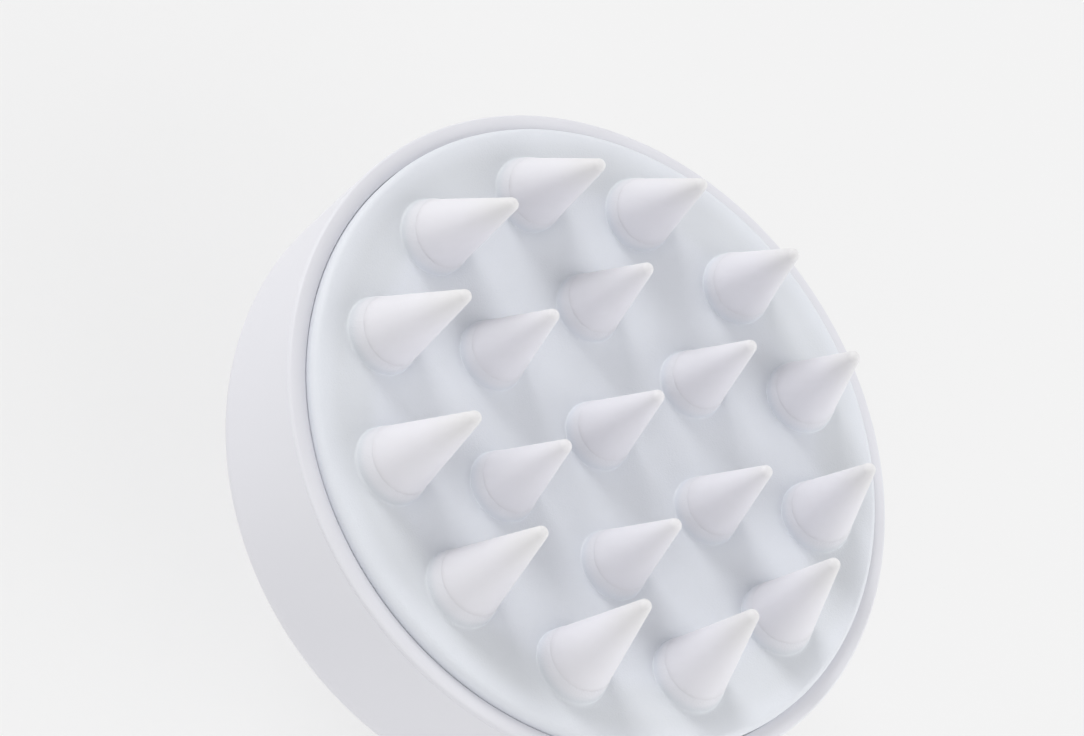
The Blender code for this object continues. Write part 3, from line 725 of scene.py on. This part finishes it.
class BRUSH_OT_cones(bpy.types.Operator):
    """Models a round-tipped cone for each ring and sets a copy in every sleeve"""
    bl_idname = "brush.cones"
    bl_label = "Cones"

    def execute(self, context):
        shape = context.scene.brush_shape
        colours = context.scene.brush_colours
        material = moulded_material("matte_silicone", colours.cone, colours.cone_shade,
                                    roughness=0.62, grain_mm=0.2, grain_depth_mm=0.004, cloud_mm=9,
                                    subsurface=0.3, subsurface_mm=1.6)
        # The tips blend to a warmer, darker colour: the silicone's own tint plus painted shade
        tint_and_shade_tips(material, colours.cone_tip, RIM_HEIGHT + TIP_TINT_SHADE_START, RIM_HEIGHT + TIP_TINT_SHADE_END)
        for height in (shape.inner_cone, shape.outer_cone):
            seats = [item for item in cone_seats(shape) if item[2] == height]
            cone = turned_piece("cone", self.cone_profile(shape, height, seats[0][3]), CONE_STEPS)
            for copy, (name, _, _, _) in zip(placed_copies(cone, [item[1] for item in seats]), seats):
                copy.name = "soft_" + name
                finish_piece(copy, material, "head", name)
        return {"FINISHED"}

    def cone_profile(self, shape, height, foot):
        """Outline of a cone from its round tip to its flange, measured from the pad's face."""
        tip = height - shape.cone_tip
        taper = math.degrees(cone_taper(shape, height, foot))
        profile = [(0.0, height)] + arc((0.0, tip), shape.cone_tip, 90, taper, CONE_TIP_STEPS)
        profile += straight(profile[-1], (foot, shape.cone_waist), CONE_SIDE_STEPS)
        flange = foot + shape.flange_width
        profile += [(foot, shape.flange_top), (flange, shape.flange_top), (flange, shape.flange_foot)]
        return profile + [(0.0, shape.flange_foot)]


class BRUSH_OT_knob(bpy.types.Operator):
    """Models the waisted palm knob, hollow and drilled for its screws, and its flat cap"""
    bl_idname = "brush.knob"
    bl_label = "Knob"

    def execute(self, context):
        shape = context.scene.brush_shape
        colours = context.scene.brush_colours
        top = KNOB_HIGH.z
        profile = self.knob_outside(shape, top) + self.knob_inside(shape, top)
        knob = turned_piece("palm_knob", profile, KNOB_STEPS)
        holes = round_tools(shape, shape.screw_hole, top - KNOB_HOLE_DEPTH, top + CUT_REACH)
        apply_boolean(knob, holes, "DIFFERENCE")
        material = moulded_material("moulded_white_knob", colours.housing, colours.housing_shade,
                                    roughness=0.45, grain_mm=0.25, grain_depth_mm=0.004, cloud_mm=18)
        finish_piece(knob, material, "housing", "grip_knob")
        cap = turned_piece("foot_cap", self.cap_profile(), KNOB_STEPS)
        material = moulded_material("moulded_white_cap", colours.housing_shade, colours.housing,
                                    roughness=0.5, grain_mm=0.3, grain_depth_mm=0.005, cloud_mm=14)
        finish_piece(cap, material, "housing", "knob_cap")
        return {"FINISHED"}

    def knob_outside(self, shape, top):
        """Outline of the flared neck, the swell down to the belly and the round foot."""
        neck = shape.neck_radius
        flare = shape.neck_flare
        neck_foot = top - shape.neck_length
        belly = KNOB_HIGH.x
        profile = [(0.0, top), (neck + flare, top)]
        profile += arc((neck + flare, top - flare), flare, 90, 180, NECK_FLARE_STEPS)
        for step in range(KNOB_SWELL_STEPS + 1):
            swell = (1 - math.cos(math.pi * step / KNOB_SWELL_STEPS)) / 2
            profile.append((neck + (belly - neck) * swell,
                            neck_foot + (shape.belly_height - neck_foot) * step / KNOB_SWELL_STEPS))
        for step in range(1, KNOB_FOOT_STEPS + 1):
            angle = math.pi / 2 * step / KNOB_FOOT_STEPS
            profile.append((shape.knob_foot + (belly - shape.knob_foot) * math.cos(angle),
                            shape.belly_height - (shape.belly_height - KNOB_LOW.z) * math.sin(angle)))
        return profile

    def knob_inside(self, shape, top):
        """Outline of the recess for the cap, the ledge above it and the hollow."""
        recess = shape.cap_recess
        ledge = recess - LEDGE_WIDTH
        return [
            (recess + RECESS_CHAMFER, KNOB_LOW.z),
            (recess, KNOB_LOW.z + RECESS_CHAMFER),
            (recess, RECESS_TOP),
            (ledge, RECESS_TOP),
            (ledge, LEDGE_TOP),
            (HOLLOW_RADIUS, top - shape.neck_length),
            (HOLLOW_RADIUS, top - KNOB_WEB),
            (0.0, top - KNOB_WEB),
        ]

    def cap_profile(self):
        """Outline of the cap: a flat disc with a round edge and a ring that plugs into the knob."""
        edge = CAP_HIGH.x
        flat = edge - CAP_ROUND
        profile = [(0.0, 0.0), (flat, 0.0)] + arc((flat, CAP_ROUND), CAP_ROUND, -90, 0, CAP_ROUND_STEPS)
        profile += [(edge, CAP_THICKNESS), (CAP_RING_OUTER, CAP_THICKNESS), (CAP_RING_OUTER, CAP_HIGH.z)]
        return profile + [(CAP_RING_INNER, CAP_HIGH.z), (CAP_RING_INNER, CAP_THICKNESS), (0.0, CAP_THICKNESS)]


class BRUSH_OT_inside(bpy.types.Operator):
    """Dresses the carrier plate and the screws"""
    bl_idname = "brush.inside"
    bl_label = "Inside"

    def execute(self, context):
        colours = context.scene.brush_colours
        plate = moulded_material("plain_white_abs", colours.carrier, colours.housing_shade,
                                 roughness=0.5, grain_mm=0.3, grain_depth_mm=0.003, cloud_mm=20)
        dress_node("pad_carrier", plate)
        steel = moulded_material("zinc_plated_steel", colours.steel, colours.steel_shade,
                                 roughness=0.32, grain_mm=0.2, grain_depth_mm=0.002, cloud_mm=2, metallic=1.0)
        for index in range(SCREW_COUNT):
            dress_node(f"knob_screw_{index + 1}", steel)
        return {"FINISHED"}


class BRUSH_OT_stage(bpy.types.Operator):
    """Lays the pale floor, hangs the soft lights and sets the camera at the photograph's view"""
    bl_idname = "brush.stage"
    bl_label = "Stage"

    def execute(self, context):
        stage = context.scene.brush_stage
        colours = context.scene.brush_colours
        self.add_floor(stage, colours)
        self.add_lights(context, stage)
        self.add_camera(context, stage)
        return {"FINISHED"}

    def add_floor(self, stage, colours):
        """Large pale floor. The camera and mirrors see it as part paint and part its own even paleness."""
        bpy.ops.object.select_all(action="DESELECT")
        bpy.ops.mesh.primitive_plane_add(size=stage.floor_size)
        floor = bpy.context.object
        floor.name = "studio_floor"
        material = bpy.data.materials.new("pale_floor_paint")
        material.use_nodes = True
        tree = material.node_tree
        paint = tree.nodes["Principled BSDF"]
        paint.inputs["Base Color"].default_value = colours.floor
        paint.inputs["Roughness"].default_value = FLOOR_ROUGHNESS
        paint.inputs["Specular IOR Level"].default_value = 0.0
        glow = add_node(tree, "ShaderNodeEmission", links={"Color": colours.floor, "Strength": 1.0})
        rays = add_node(tree, "ShaderNodeLightPath").outputs
        seen_or_mirrored = add_node(tree, "ShaderNodeMath", {"operation": "ADD"},
                                    {0: rays["Is Camera Ray"], 1: rays["Is Glossy Ray"]})
        seen = add_node(tree, "ShaderNodeMath", {"operation": "ADD", "use_clamp": True},
                        {0: seen_or_mirrored.outputs["Value"], 1: rays["Is Transmission Ray"]})
        share = add_node(tree, "ShaderNodeMath", {"operation": "MULTIPLY"},
                         {0: seen.outputs["Value"], 1: stage.floor_glow})
        blend = add_node(tree, "ShaderNodeMixShader", links={
            0: share.outputs["Value"], 1: paint.outputs["BSDF"], 2: glow.outputs["Emission"]})
        tree.links.new(blend.outputs["Shader"], tree.nodes["Material Output"].inputs["Surface"])
        floor.data.materials.append(material)

    def add_lights(self, context, stage):
        """Four soft lamps, far enough to light evenly, and a pale world round them."""
        for name in ("key", "front", "side", "back"):
            azimuth = getattr(stage, name + "_azimuth")
            elevation = getattr(stage, name + "_elevation")
            toward = self.direction(azimuth, elevation)
            turn = toward.to_track_quat("Z", "Y").to_euler()
            bpy.ops.object.light_add(type="SUN", location=toward, rotation=turn)
            lamp = bpy.context.object
            lamp.name = name + "_light"
            lamp.data.energy = getattr(stage, name + "_strength")
            lamp.data.angle = getattr(stage, name + "_spread")
        world = bpy.data.worlds.new("studio")
        world.use_nodes = True
        context.scene.world = world
        background = world.node_tree.nodes["Background"]
        background.inputs["Color"].default_value = (1.0, 1.0, 1.0, 1.0)
        background.inputs["Strength"].default_value = stage.world_strength

    def direction(self, azimuth, elevation):
        """Direction towards a place at a turn about the brush, from its front, and a height angle."""
        flat = math.cos(elevation)
        return Vector((math.sin(azimuth) * flat, -math.cos(azimuth) * flat, math.sin(elevation)))

    def add_camera(self, context, stage):
        """Camera that looks at its aim from the photograph's direction, rolled as the photograph is."""
        back = self.direction(stage.azimuth, stage.elevation)
        level = Vector((math.cos(stage.azimuth), math.sin(stage.azimuth), 0.0))
        rise = back.cross(level)
        right = level * math.cos(stage.roll) + rise * math.sin(stage.roll)
        turn = Matrix((right, back.cross(right), back)).transposed()
        place = Vector(stage.aim) + back * stage.distance
        bpy.ops.object.camera_add(location=place, rotation=turn.to_euler())
        camera = bpy.context.object
        camera.data.lens = stage.lens
        camera.data.sensor_width = SENSOR_WIDTH
        camera.data.clip_start = CLIP_START
        context.scene.camera = camera
        context.scene.view_settings.view_transform = "Standard"


class BRUSH_PT_panel(bpy.types.Panel):
    """Lists the brush's pieces and its stage"""
    bl_idname = "BRUSH_PT_panel"
    bl_label = "Scalp Massager Brush"
    bl_space_type = "VIEW_3D"
    bl_region_type = "UI"
    bl_category = "Brush"

    def draw(self, context):
        for operator in OPERATORS:
            self.layout.operator(operator.bl_idname)


OPERATORS = (BRUSH_OT_housing, BRUSH_OT_pad, BRUSH_OT_cones, BRUSH_OT_knob, BRUSH_OT_inside, BRUSH_OT_stage)
GROUPS = {"brush_shape": BrushShape, "brush_colours": BrushColours, "brush_stage": BrushStage}


def register():
    """Adds the groups of properties, the operators and the panel."""
    for group in GROUPS.values():
        bpy.utils.register_class(group)
    for item in (*OPERATORS, BRUSH_PT_panel):
        bpy.utils.register_class(item)
    for name, group in GROUPS.items():
        setattr(bpy.types.Scene, name, PointerProperty(type=group))


def unregister():
    """Takes away what register added."""
    for name in GROUPS:
        delattr(bpy.types.Scene, name)
    for item in (BRUSH_PT_panel, *OPERATORS, *GROUPS.values()):
        bpy.utils.unregister_class(item)


def main():
    """Builds the brush and its stage."""
    register()
    bpy.ops.brush.housing()
    bpy.ops.brush.pad()
    bpy.ops.brush.cones()
    bpy.ops.brush.knob()
    bpy.ops.brush.inside()
    bpy.ops.brush.stage()


if __name__ == "__main__":
    main()
